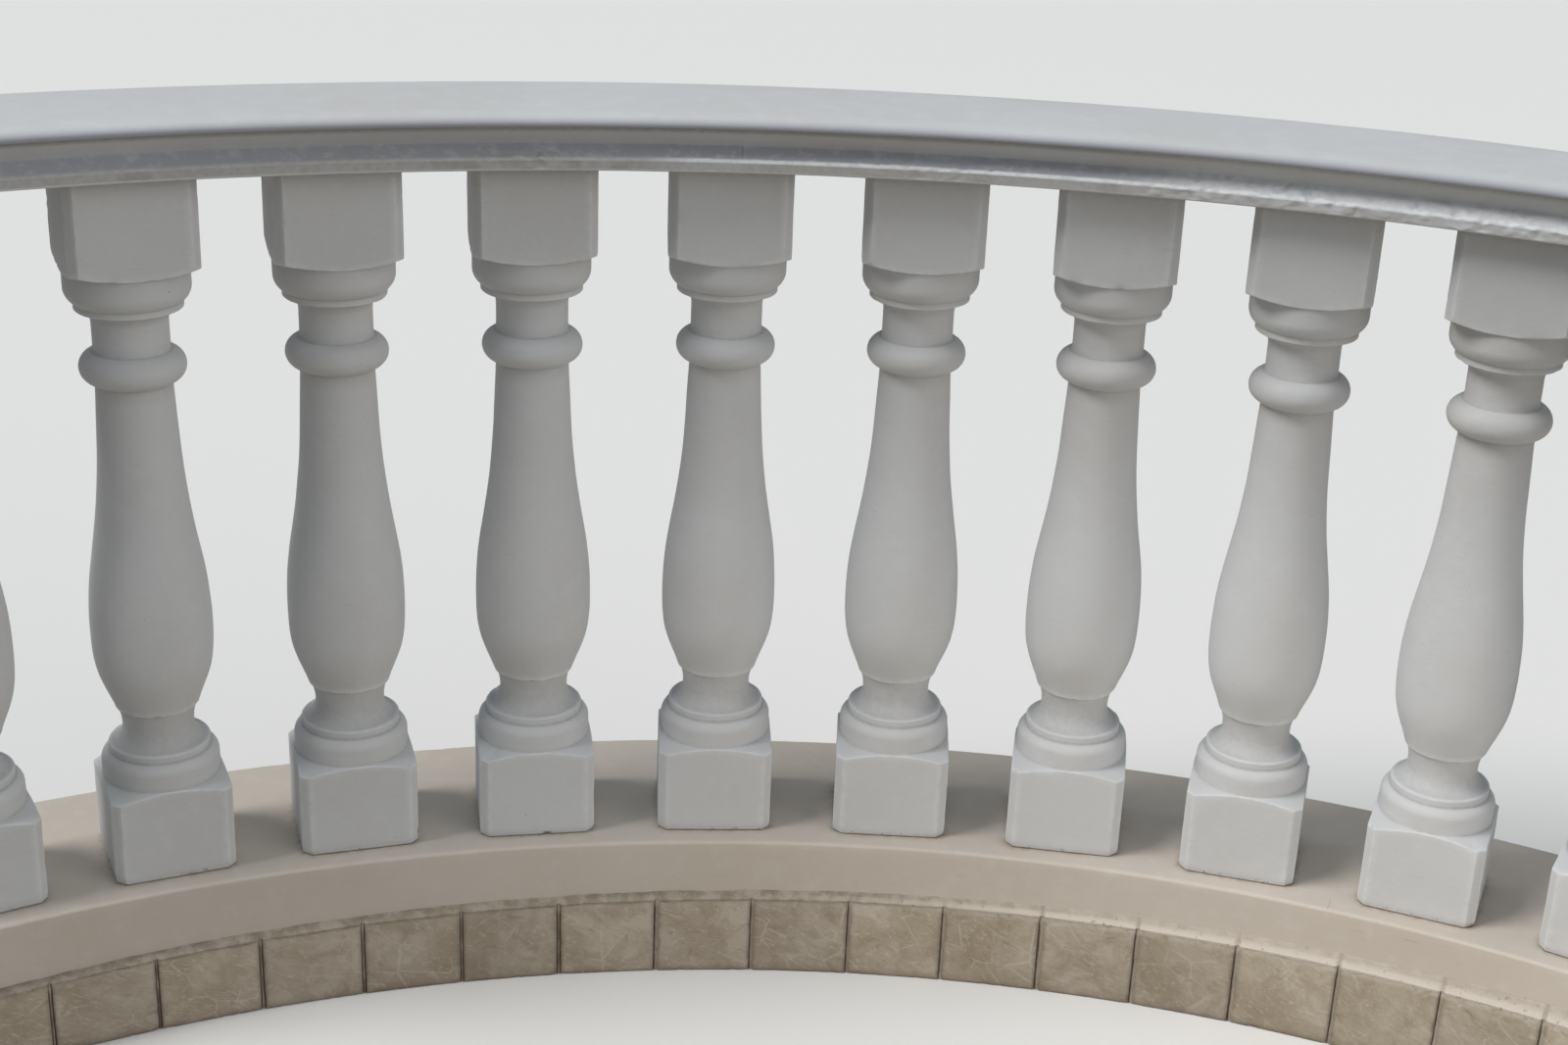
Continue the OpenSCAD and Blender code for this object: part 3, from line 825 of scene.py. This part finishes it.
def rail_mesh(name, from_deg, to_deg):
    degs = stations(from_deg, to_deg, ARC_R, 2.6)
    section = [(ARC_R + x, RAIL_Z + z) for x, z, _ in RAIL_SECTION]
    members = [member for _, _, member in RAIL_SECTION]
    count = len(section)

    def shape(rho, z, i, deg):
        # the joint between the two lengths stays open only in the hollow
        pull = 0.5 if members[i] == "hollow" and deg == RAIL_JOINT_DEG else 0
        return rho, z, deg + degrees(pull / ARC_R) * (1 if deg == from_deg else -1)

    mesh = sweep(name, section, degs, shape)
    weights, lumps = [], []
    for deg in degs:
        run = radians(deg) * ARC_R
        crust = crusty(deg)
        for (rho, z), member in zip(section, members):
            inner = rho < ARC_R
            patch = smooth(0.05, 0.5, grain(run, rho, z, 30, 3))
            weights.append(rail_weights(member, z - RAIL_Z, deg, inner, patch))
            lumps.append(LUMPS.get(member, 0) * (crust if inner else 0.3 * crust))

    def distance(i, p, normal):
        # the middle of the underside stays where it is
        if i % count == count - 1:
            return 0
        deg = degs[i // count]
        run = radians(deg) * ARC_R
        rho, z = section[i % count]
        d = 0.35 * grain(run, rho, z, 160, 1) + 0.12 * grain(run, rho, z, 45, 2)
        rough = lumps[i]
        if rough > 0:
            crumbs = max(0, grain(run, rho * 1.6, z * 1.6, 9, 4))
            d += rough * (2.4 * crumbs + 0.9 * grain(run, rho, z, 4, 5))
            d -= rough * 2.2 * smooth(0.25, 0.5, grain(run, rho, z * 0.7, 14, 6))
        # the two cut ends meet, so nothing is moved there along a tilted normal
        d *= smooth(0, 0.1, abs(deg - RAIL_JOINT_DEG))
        return min(d, 0 if members[i % count] == "top" else 1.6)

    push(mesh, distance)
    grime, edge, slate, roll = (list(column) for column in zip(*weights))
    clean_ends([grime, edge, slate, roll], degs, count)
    weigh(mesh, grime=grime, edge=edge, slate=slate, roll=roll)
    return mesh


for side, start, end in (("left", -HALF_DEG, RAIL_JOINT_DEG), ("right", RAIL_JOINT_DEG, HALF_DEG)):
    piece(f"handrail_{side}_length", rail_mesh(f"rail_{side}_mesh", start, end), white,
          f"rail_{side}")


def block_distance(p):
    """How far a point on the kerb's top lies outside the nearest block, in plan, and that block's number."""
    deg = degrees(atan2(p.x, p.y + ORIGIN_Y))
    n = min(max(round(deg / STEP_DEG + (COUNT + 1) / 2), 1), COUNT)
    local = axis_matrix(n, 0).inverted() @ Vector((p.x, p.y, 0))
    x, y = abs(local.x), abs(local.y)
    chamfer = (x + y - 2 * BLOCK_HALF + BLOCK_CHAMFER) / sqrt(2)
    return max(x - BLOCK_HALF, y - BLOCK_HALF, chamfer), n


# where the hairline crack crosses the kerb, and how far in from the front it ends
KERB_CRACK_DEG = 21.15
KERB_CRACK_END = 42


def kerb_mesh():
    front, back, r, side_z = KERB_IN_R, KERB_OUT_R, KERB_ROUND, KERB_H - KERB_ROUND
    section = chain([(front, 0), (front, side_z)], 7)
    section += arc_points(front + r, side_z, r, 180, 90, 6)[1:]
    section += chain([(front + r, KERB_H), (back - r, KERB_H)], 5.5)[1:]
    section += arc_points(back - r, side_z, r, 90, 0, 4)[1:]
    section += chain([(back, side_z), (back, 0)], 14)[1:]
    section += chain([(back, 0), (front, 0)], 40)[1:-1]
    count = len(section)
    degs = stations(-HALF_DEG, HALF_DEG, ARC_R, 4.5)
    # two rows of points close beside the crack
    k = min(range(len(degs)), key=lambda i: abs(degs[i] - KERB_CRACK_DEG))
    crack_at = degs[k]
    degs[k:k + 1] = [crack_at - 0.04, crack_at, crack_at + 0.04]

    def wander(rho, z, i, deg):
        near = smooth(0.5, 0, abs(deg - crack_at))
        return rho, z, deg + near * 0.12 * grain(rho, z, 0, 30, 12)

    mesh = sweep("kerb_mesh", section, degs, wander)
    edge, grime, stain, rough, crack = [], [], [], [], []
    for v in mesh.vertices:
        rho, z = section[v.index % count]
        deg = degs[v.index // count]
        inner = rho < KERB_IN_R + 1
        on_face = inner or rho > KERB_OUT_R - 1
        on_top = z > KERB_H - 1
        corner = hypot(min(rho - KERB_IN_R, KERB_OUT_R - rho), KERB_H - z)
        near, n = block_distance(v.co / MM)
        near = max(near, 0)
        edge.append(max(0, 1 - corner / 5))
        # darker beside the blocks' feet, partly dirt and partly painted shade in the crease, and darker
        # towards the bottom of the faces
        grime.append((0.7 * exp(-near / 3) if on_top else 0)
                     + (0.25 * smooth(60, 20, z) if on_face else 0))
        stain.append(exp(-near / 5) * (0.8 if n >= 6 else 0.2) if on_top else 0)
        crack.append(0.8 * smooth(KERB_CRACK_END, 18, rho - KERB_IN_R) if on_top and deg == crack_at else 0)
        rough.append(0.35 + 0.65 * smooth(0, 15, deg) if inner else 0.1)

    def distance(i, p, normal):
        rho, z = section[i % count]
        if z < 0.5:
            return 0
        run = radians(degs[i // count]) * ARC_R
        d = 0.5 * grain(run, rho, z, 220, 1) + 0.22 * grain(run, rho, z, 60, 2)
        d += 0.06 * grain(run, rho, z, 18, 3)
        d -= 1.2 * edge[i] * smooth(0.2, 0.6, grain(run, rho, z, 26, 5))
        if normal.z > 0.5:
            # the top is level under the blocks, and a little lower beside them
            d = min(d, 0) - 0.15 if block_distance(p)[0] > 0 else 0
        return min(d, 0 if rho > KERB_OUT_R - 1 else 0.6)

    push(mesh, distance)
    clean_ends([grime, edge, stain], degs, count)
    weigh(mesh, grime=grime, edge=edge, stain=stain, rough=rough, crack=crack)
    return mesh


piece("rendered_kerb", kerb_mesh(), cream, "kerb")

# joints of the tiles: the first one, their spacing, and how far each is off its regular place
FIRST_JOINT_DEG = -33.395
JOINT_STEP_DEG = 3.949
JOINT_OFF = (0, -1, 0, 1, 2, 1, 0, 0, -1, 0, -2, -1, -3, -1, 1, 3, 2, 0)
# clear width of each joint
JOINT_W = (4, 4.5, 4, 5, 4.5, 4, 5, 5.5, 4.5, 4, 5, 6, 5, 5.5, 4, 4.5, 5, 4.5)
TILE_SETBACK = 0.8
TILE_FRONT_R = SKIRTING_FRONT_R + TILE_SETBACK
TILE_RISE_PER_DEG = 0.29
TILE_ARRIS = 1.6


def tile_top(deg):
    """The terrace slopes a little against the kerb, so the tiles end higher towards the right."""
    return SKIRTING_H - 0.8 + TILE_RISE_PER_DEG * deg


def bevel_top(deg):
    return min(SKIRTING_H + 6 + 0.47 * deg + 0.004 * deg * deg, 126)


def on_front(u):
    """The angle that a length u along the tiles' faces takes."""
    return degrees(u / TILE_FRONT_R)


def painted_to(deg):
    """How far the kerb's paint, and with it a painted band of sunlight, covers mortar and tiles: hardly on
    the left, wholly on the right.
    """
    return smooth(-2, 12, deg)


def close_grid(verts, faces, us, zs, from_deg):
    """Adds the faces of the grid of points that ends verts, with a rim and a flat back."""
    rows, cols, back = len(zs), len(us), len(verts)
    start = back - rows * cols
    for i in range(rows - 1):
        for j in range(cols - 1):
            a = start + i * cols + j
            faces.append((a, a + 1, a + cols + 1, a + cols))
    rim = [(0, j) for j in range(cols)]
    rim += [(i, cols - 1) for i in range(1, rows)]
    rim += [(rows - 1, j) for j in range(cols - 2, -1, -1)]
    rim += [(i, 0) for i in range(rows - 2, 0, -1)]
    front = [start + i * cols + j for i, j in rim]
    verts += [on_arc(SKIRTING_BACK_R - 0.2, from_deg + on_front(us[j]), zs[i]) for i, j in rim]
    for t in range(len(rim)):
        u = (t + 1) % len(rim)
        faces.append((front[t], front[u], back + u, back + t))
    faces.append(tuple(range(back, back + len(rim))))
    return len(rim)


def tile_marks(length):
    """Places of the points across a tile, close together at its arrises."""
    ends = [0, 0.25, 0.7, TILE_ARRIS, 3.5]
    steps = round(length / 4.5)
    inside = [mix(6, length - 6, i / steps) for i in range(steps + 1)]
    return ends + inside + [length - e for e in reversed(ends)]


def tile_mesh(k, from_deg, to_deg):
    """Tile k with worn, chipped arrises, but with plain sides where the part ends."""
    width = radians(to_deg - from_deg) * TILE_FRONT_R
    height = tile_top((from_deg + to_deg) / 2)
    us = tile_marks(width)
    zs = tile_marks(height)
    verts, faces, grime, paint = [], [], [], []
    for z in zs:
        for u in us:
            edge_u = min(u if k > 1 else 99, width - u if k <= len(JOINT_W) else 99)
            edge_z = min(z, height - z)
            near = min(edge_u, edge_z)
            sunk = TILE_ARRIS - sqrt(TILE_ARRIS ** 2 - max(0, TILE_ARRIS - near) ** 2)
            x = from_deg * 30 + u
            straight = smooth(6, 2, height - z)
            chip = smooth(0.25, 0.6, grain(x, 0, z, 9, k)) * smooth(3.6, 0.5, near)
            chip += smooth(0.35, 0.6, grain(x, 7, z, 5, k + 30)) * smooth(2.4, 0.4, near) * 0.5
            chip *= 1 - 0.8 * straight
            corner = smooth(9, 2, hypot(edge_u, edge_z))
            corner *= smooth(-0.1, 0.4, grain(x, 3, z, 20, k + 7))
            sunk += 1.6 * chip + 1.2 * corner * (1 - 0.7 * straight)
            sunk += 0.18 * (1 + grain(x, 0, z, 40, k)) + 0.08 * (1 + grain(x, 0, z, 12, k))
            deg = from_deg + on_front(u)
            verts.append(on_arc(TILE_FRONT_R + sunk, deg, z))
            # darker at its arrises, in its chips and towards the bottom
            grime.append(min(1, smooth(5, 0.5, near) * 0.7 + 0.5 * chip + 0.6 * smooth(14, 0, z)))
            # pale paint over the tile's top, whose soft lower edge also stands for a painted band of
            # sunlight, stronger towards the right
            paint.append(mix(0.15, 0.95, painted_to(deg)) * smooth(13, 1.5, height - z) ** 1.5)
    rim = close_grid(verts, faces, us, zs, from_deg)
    grime += [1] * rim
    paint += [0] * rim
    mesh = mesh_from(f"tile_{k:02d}_mesh", verts, faces, 50)
    weigh(mesh, grime=grime, paint=paint, tone=[0.137 * k + 0.05] * len(verts))
    return mesh


def grout_mesh(joints):
    """The pointing in every joint, sunk behind the tile faces."""
    verts, faces, paint = [], [], []
    for k, middle in enumerate(joints):
        half = JOINT_W[k] / 2 + 0.9
        top = tile_top(middle) - 0.6
        us = [mix(-half, half, i / 10) for i in range(11)]
        zs = [top * i / 44 for i in range(45)]
        for z in zs:
            for u in us:
                # from the middle on, the grout is deeper along the left tile
                side = -u / half if k > 6 else abs(u / half)
                deep = 2.2 + 0.4 * grain(u, k * 40, z, 5, 2) + 0.5 * grain(u, k * 40, z, 15, 3)
                deep += 2.8 * smooth(0.05, 0.75, side + 0.35 * grain(0, k * 40, z, 22, 8))
                verts.append(on_arc(TILE_FRONT_R + max(1.6, deep), middle + on_front(u), z))
                paint.append(max(0.55 * smooth(0.5, 0, side), smooth(14, 4, top - z)))
        paint += [0] * close_grid(verts, faces, us, zs, middle)
    mesh = mesh_from("skirting_grout_mesh", verts, faces, 60)
    weigh(mesh, paint=paint)
    return mesh


joints = [FIRST_JOINT_DEG + JOINT_STEP_DEG * k + degrees(off / SKIRTING_FRONT_R)
          for k, off in enumerate(JOINT_OFF)]
lefts = [-HALF_DEG] + [at + on_front(wide / 2) for at, wide in zip(joints, JOINT_W)]
rights = [at - on_front(wide / 2) for at, wide in zip(joints, JOINT_W)] + [HALF_DEG]
for k, (left, right) in enumerate(zip(lefts, rights), 1):
    piece(f"skirting_tile_{k:02d}", tile_mesh(k, left, right), tile_stone, "skirting")
piece("skirting_joints", grout_mesh(joints), grout, "skirting")

# points across the sloped mortar: down its slope, down its lip, and up its back
BEVEL_SECTION = ([("slope", i / 14) for i in range(15)]
                 + [("lip", 0), ("lip", 0.5), ("lip", 1), ("back", 0), ("back", 1)])


def bevel_mesh(joints):
    """Sloped mortar from the kerb's face down over the tops of the tiles, with a ragged brushed lip."""
    degs = stations(-HALF_DEG, HALF_DEG, SKIRTING_FRONT_R, 2.4)
    front = SKIRTING_FRONT_R + 0.25
    verts, paint = [], []
    for deg in degs:
        run = radians(deg) * SKIRTING_FRONT_R
        low = tile_top(deg)
        high = bevel_top(deg) + 1.6 * grain(run, 0, 0, 60, 2) + 0.7 * grain(run, 0, 0, 14, 3)
        high = max(high, low + 3)
        joint = min(abs(deg - at) for at in joints) * radians(1) * SKIRTING_FRONT_R
        notch = smooth(3.4, 1.2, joint)
        sag = 2.6 + 2.4 * grain(run, 0, 0, 34, 5) + 1.5 * grain(run, 0, 0, 9, 6)
        sag = max(0.4, sag) * (1 - 0.7 * notch)
        # paint on the mortar, stronger to the right, where it also stands for painted sunlight
        painted = painted_to(deg)
        for kind, t in BEVEL_SECTION:
            cover = 1
            if kind == "slope":
                rho = mix(KERB_IN_R + 0.2, front + 1.2, t ** 1.15)
                z = mix(high, low + 0.8, t)
                swell = 0.8 * sin(pi * t)
                rough = 0.55 * grain(run, rho * 3, z * 2, 7, 7) + 0.35 * grain(run, rho * 3, z * 2, 3, 8)
                rough += 0.8 * grain(run * 0.25, rho * 3, z * 3, 6, 11)
                within = sin(pi * min(1, t + 0.05))
                dip = notch * smooth(0.45, 1, t)
                rho = max(rho - (swell * 0.4 + rough * 0.55) * within + 2.2 * dip, front)
                z += (swell + rough) * within * 0.8 - 0.8 * dip
                cover = mix(0.5 * painted, 1, smooth(0.4, 0.8, t))
            elif kind == "lip":
                rho = front + 0.3 * t + 2.6 * notch
                z = low + 0.6 - sag * t
            else:
                rho = mix(TILE_FRONT_R + 3.5, SKIRTING_BACK_R - 0.1, t)
                z = mix(low - sag - 0.2, low - 1, t)
            verts.append(on_arc(rho, deg, z))
            paint.append(cover * mix(0.12, 1, painted) * (1 - 0.6 * notch))
    mesh = mesh_from("bevel_mesh", verts, tube_faces(len(degs), len(BEVEL_SECTION)), 60)
    weigh(mesh, paint=paint)
    return mesh


piece("sloped_render", bevel_mesh(joints), lip, "skirting_bevel")


# the photograph's viewing angle: a small turn to the right, a look down and a slight tilt
CAMERA_AT = (-0.0597, -2.4042, 1.5425)
CAMERA_YAW = radians(1.738)
CAMERA_PITCH = radians(-22.454)
CAMERA_ROLL = radians(2.746)
facing = (Matrix.Rotation(-CAMERA_YAW, 4, "Z") @ Matrix.Rotation(radians(90) + CAMERA_PITCH, 4, "X")
          @ Matrix.Rotation(CAMERA_ROLL, 4, "Z"))
camera = bpy.data.cameras.new("camera")
bpy.context.scene.camera = put("camera", camera, Matrix.Translation(CAMERA_AT) @ facing,
                               sensor_fit="HORIZONTAL", sensor_width=36, lens=53.67,
                               shift_x=-0.02625, shift_y=0.0206, clip_end=60)

# the floor looks pale but throws back no more light than a stone terrace
FLOOR_REACH = 30
FLOOR_SEEN = "f0efed"
FLOOR_BOUNCE = "968f84"
corners = [(x * FLOOR_REACH, y * FLOOR_REACH, 0) for x, y in ((-1, -1), (1, -1), (1, 1), (-1, 1))]
floor_mesh = bpy.data.meshes.new("floor")
floor_mesh.from_pydata(corners, [], [(0, 1, 2, 3)])
floor = put("floor", floor_mesh)
m = Surface("pale_floor", FLOOR_BOUNCE)
path = m.add("LightPath").outputs
m.coat(FLOOR_SEEN, m.math("MAXIMUM", path["Is Camera Ray"], path["Is Glossy Ray"]))
floor_mesh.materials.append(m.finish(0.9, 0.5))

# a soft sky, brighter overhead than at the horizon, that the camera sees in the tone of the floor
SKY_LIGHT = (0.84, 0.92, 1)
SKY_SEEN = (0.76, 0.77, 0.765)
SKY_LOW = 0.08
SKY_HIGH = 0.5
world = bpy.data.worlds.new("world")
bpy.context.scene.world = world
sky = Nodes(world)
background = sky.tree.nodes["Background"]
up = sky.split(sky.add("TexCoord").outputs["Generated"])["Z"]
level = sky.mix(up, SKY_LOW, SKY_HIGH, kind="FLOAT")
direct = sky.add("LightPath").outputs["Is Camera Ray"]
sky.join(sky.mix(direct, level, 1, kind="FLOAT"), background.inputs["Strength"])
sky.join(sky.mix(direct, SKY_LIGHT, SKY_SEEN), background.inputs["Color"])


def light(name, kind, at, beam, **settings):
    turn = Vector(beam).to_track_quat("-Z", "Y").to_matrix().to_4x4()
    return put(name, bpy.data.lights.new(name, kind), Matrix.Translation(at) @ turn, **settings)


light("key", "SUN", (-3, -0.8, 3.5), (3, 0.8, -3.5), color=(1, 0.985, 0.955), energy=2,
      angle=radians(26))
light("fill", "SUN", (3.2, -1.8, 1.3), (-3.2, 1.8, -1.3), color=(1, 0.965, 0.92), energy=0.78,
      angle=radians(50))
# a low card in front, as the light that a sunlit terrace throws back up
card = light("card", "AREA", (0.8, -1, 0.13), (0.05, 1, 0.22), color=(1, 0.92, 0.83), energy=1,
             shape="RECTANGLE", size=2, size_y=0.24, spread=radians(70))
card.visible_camera = False

bpy.context.scene.view_settings.view_transform = "Standard"
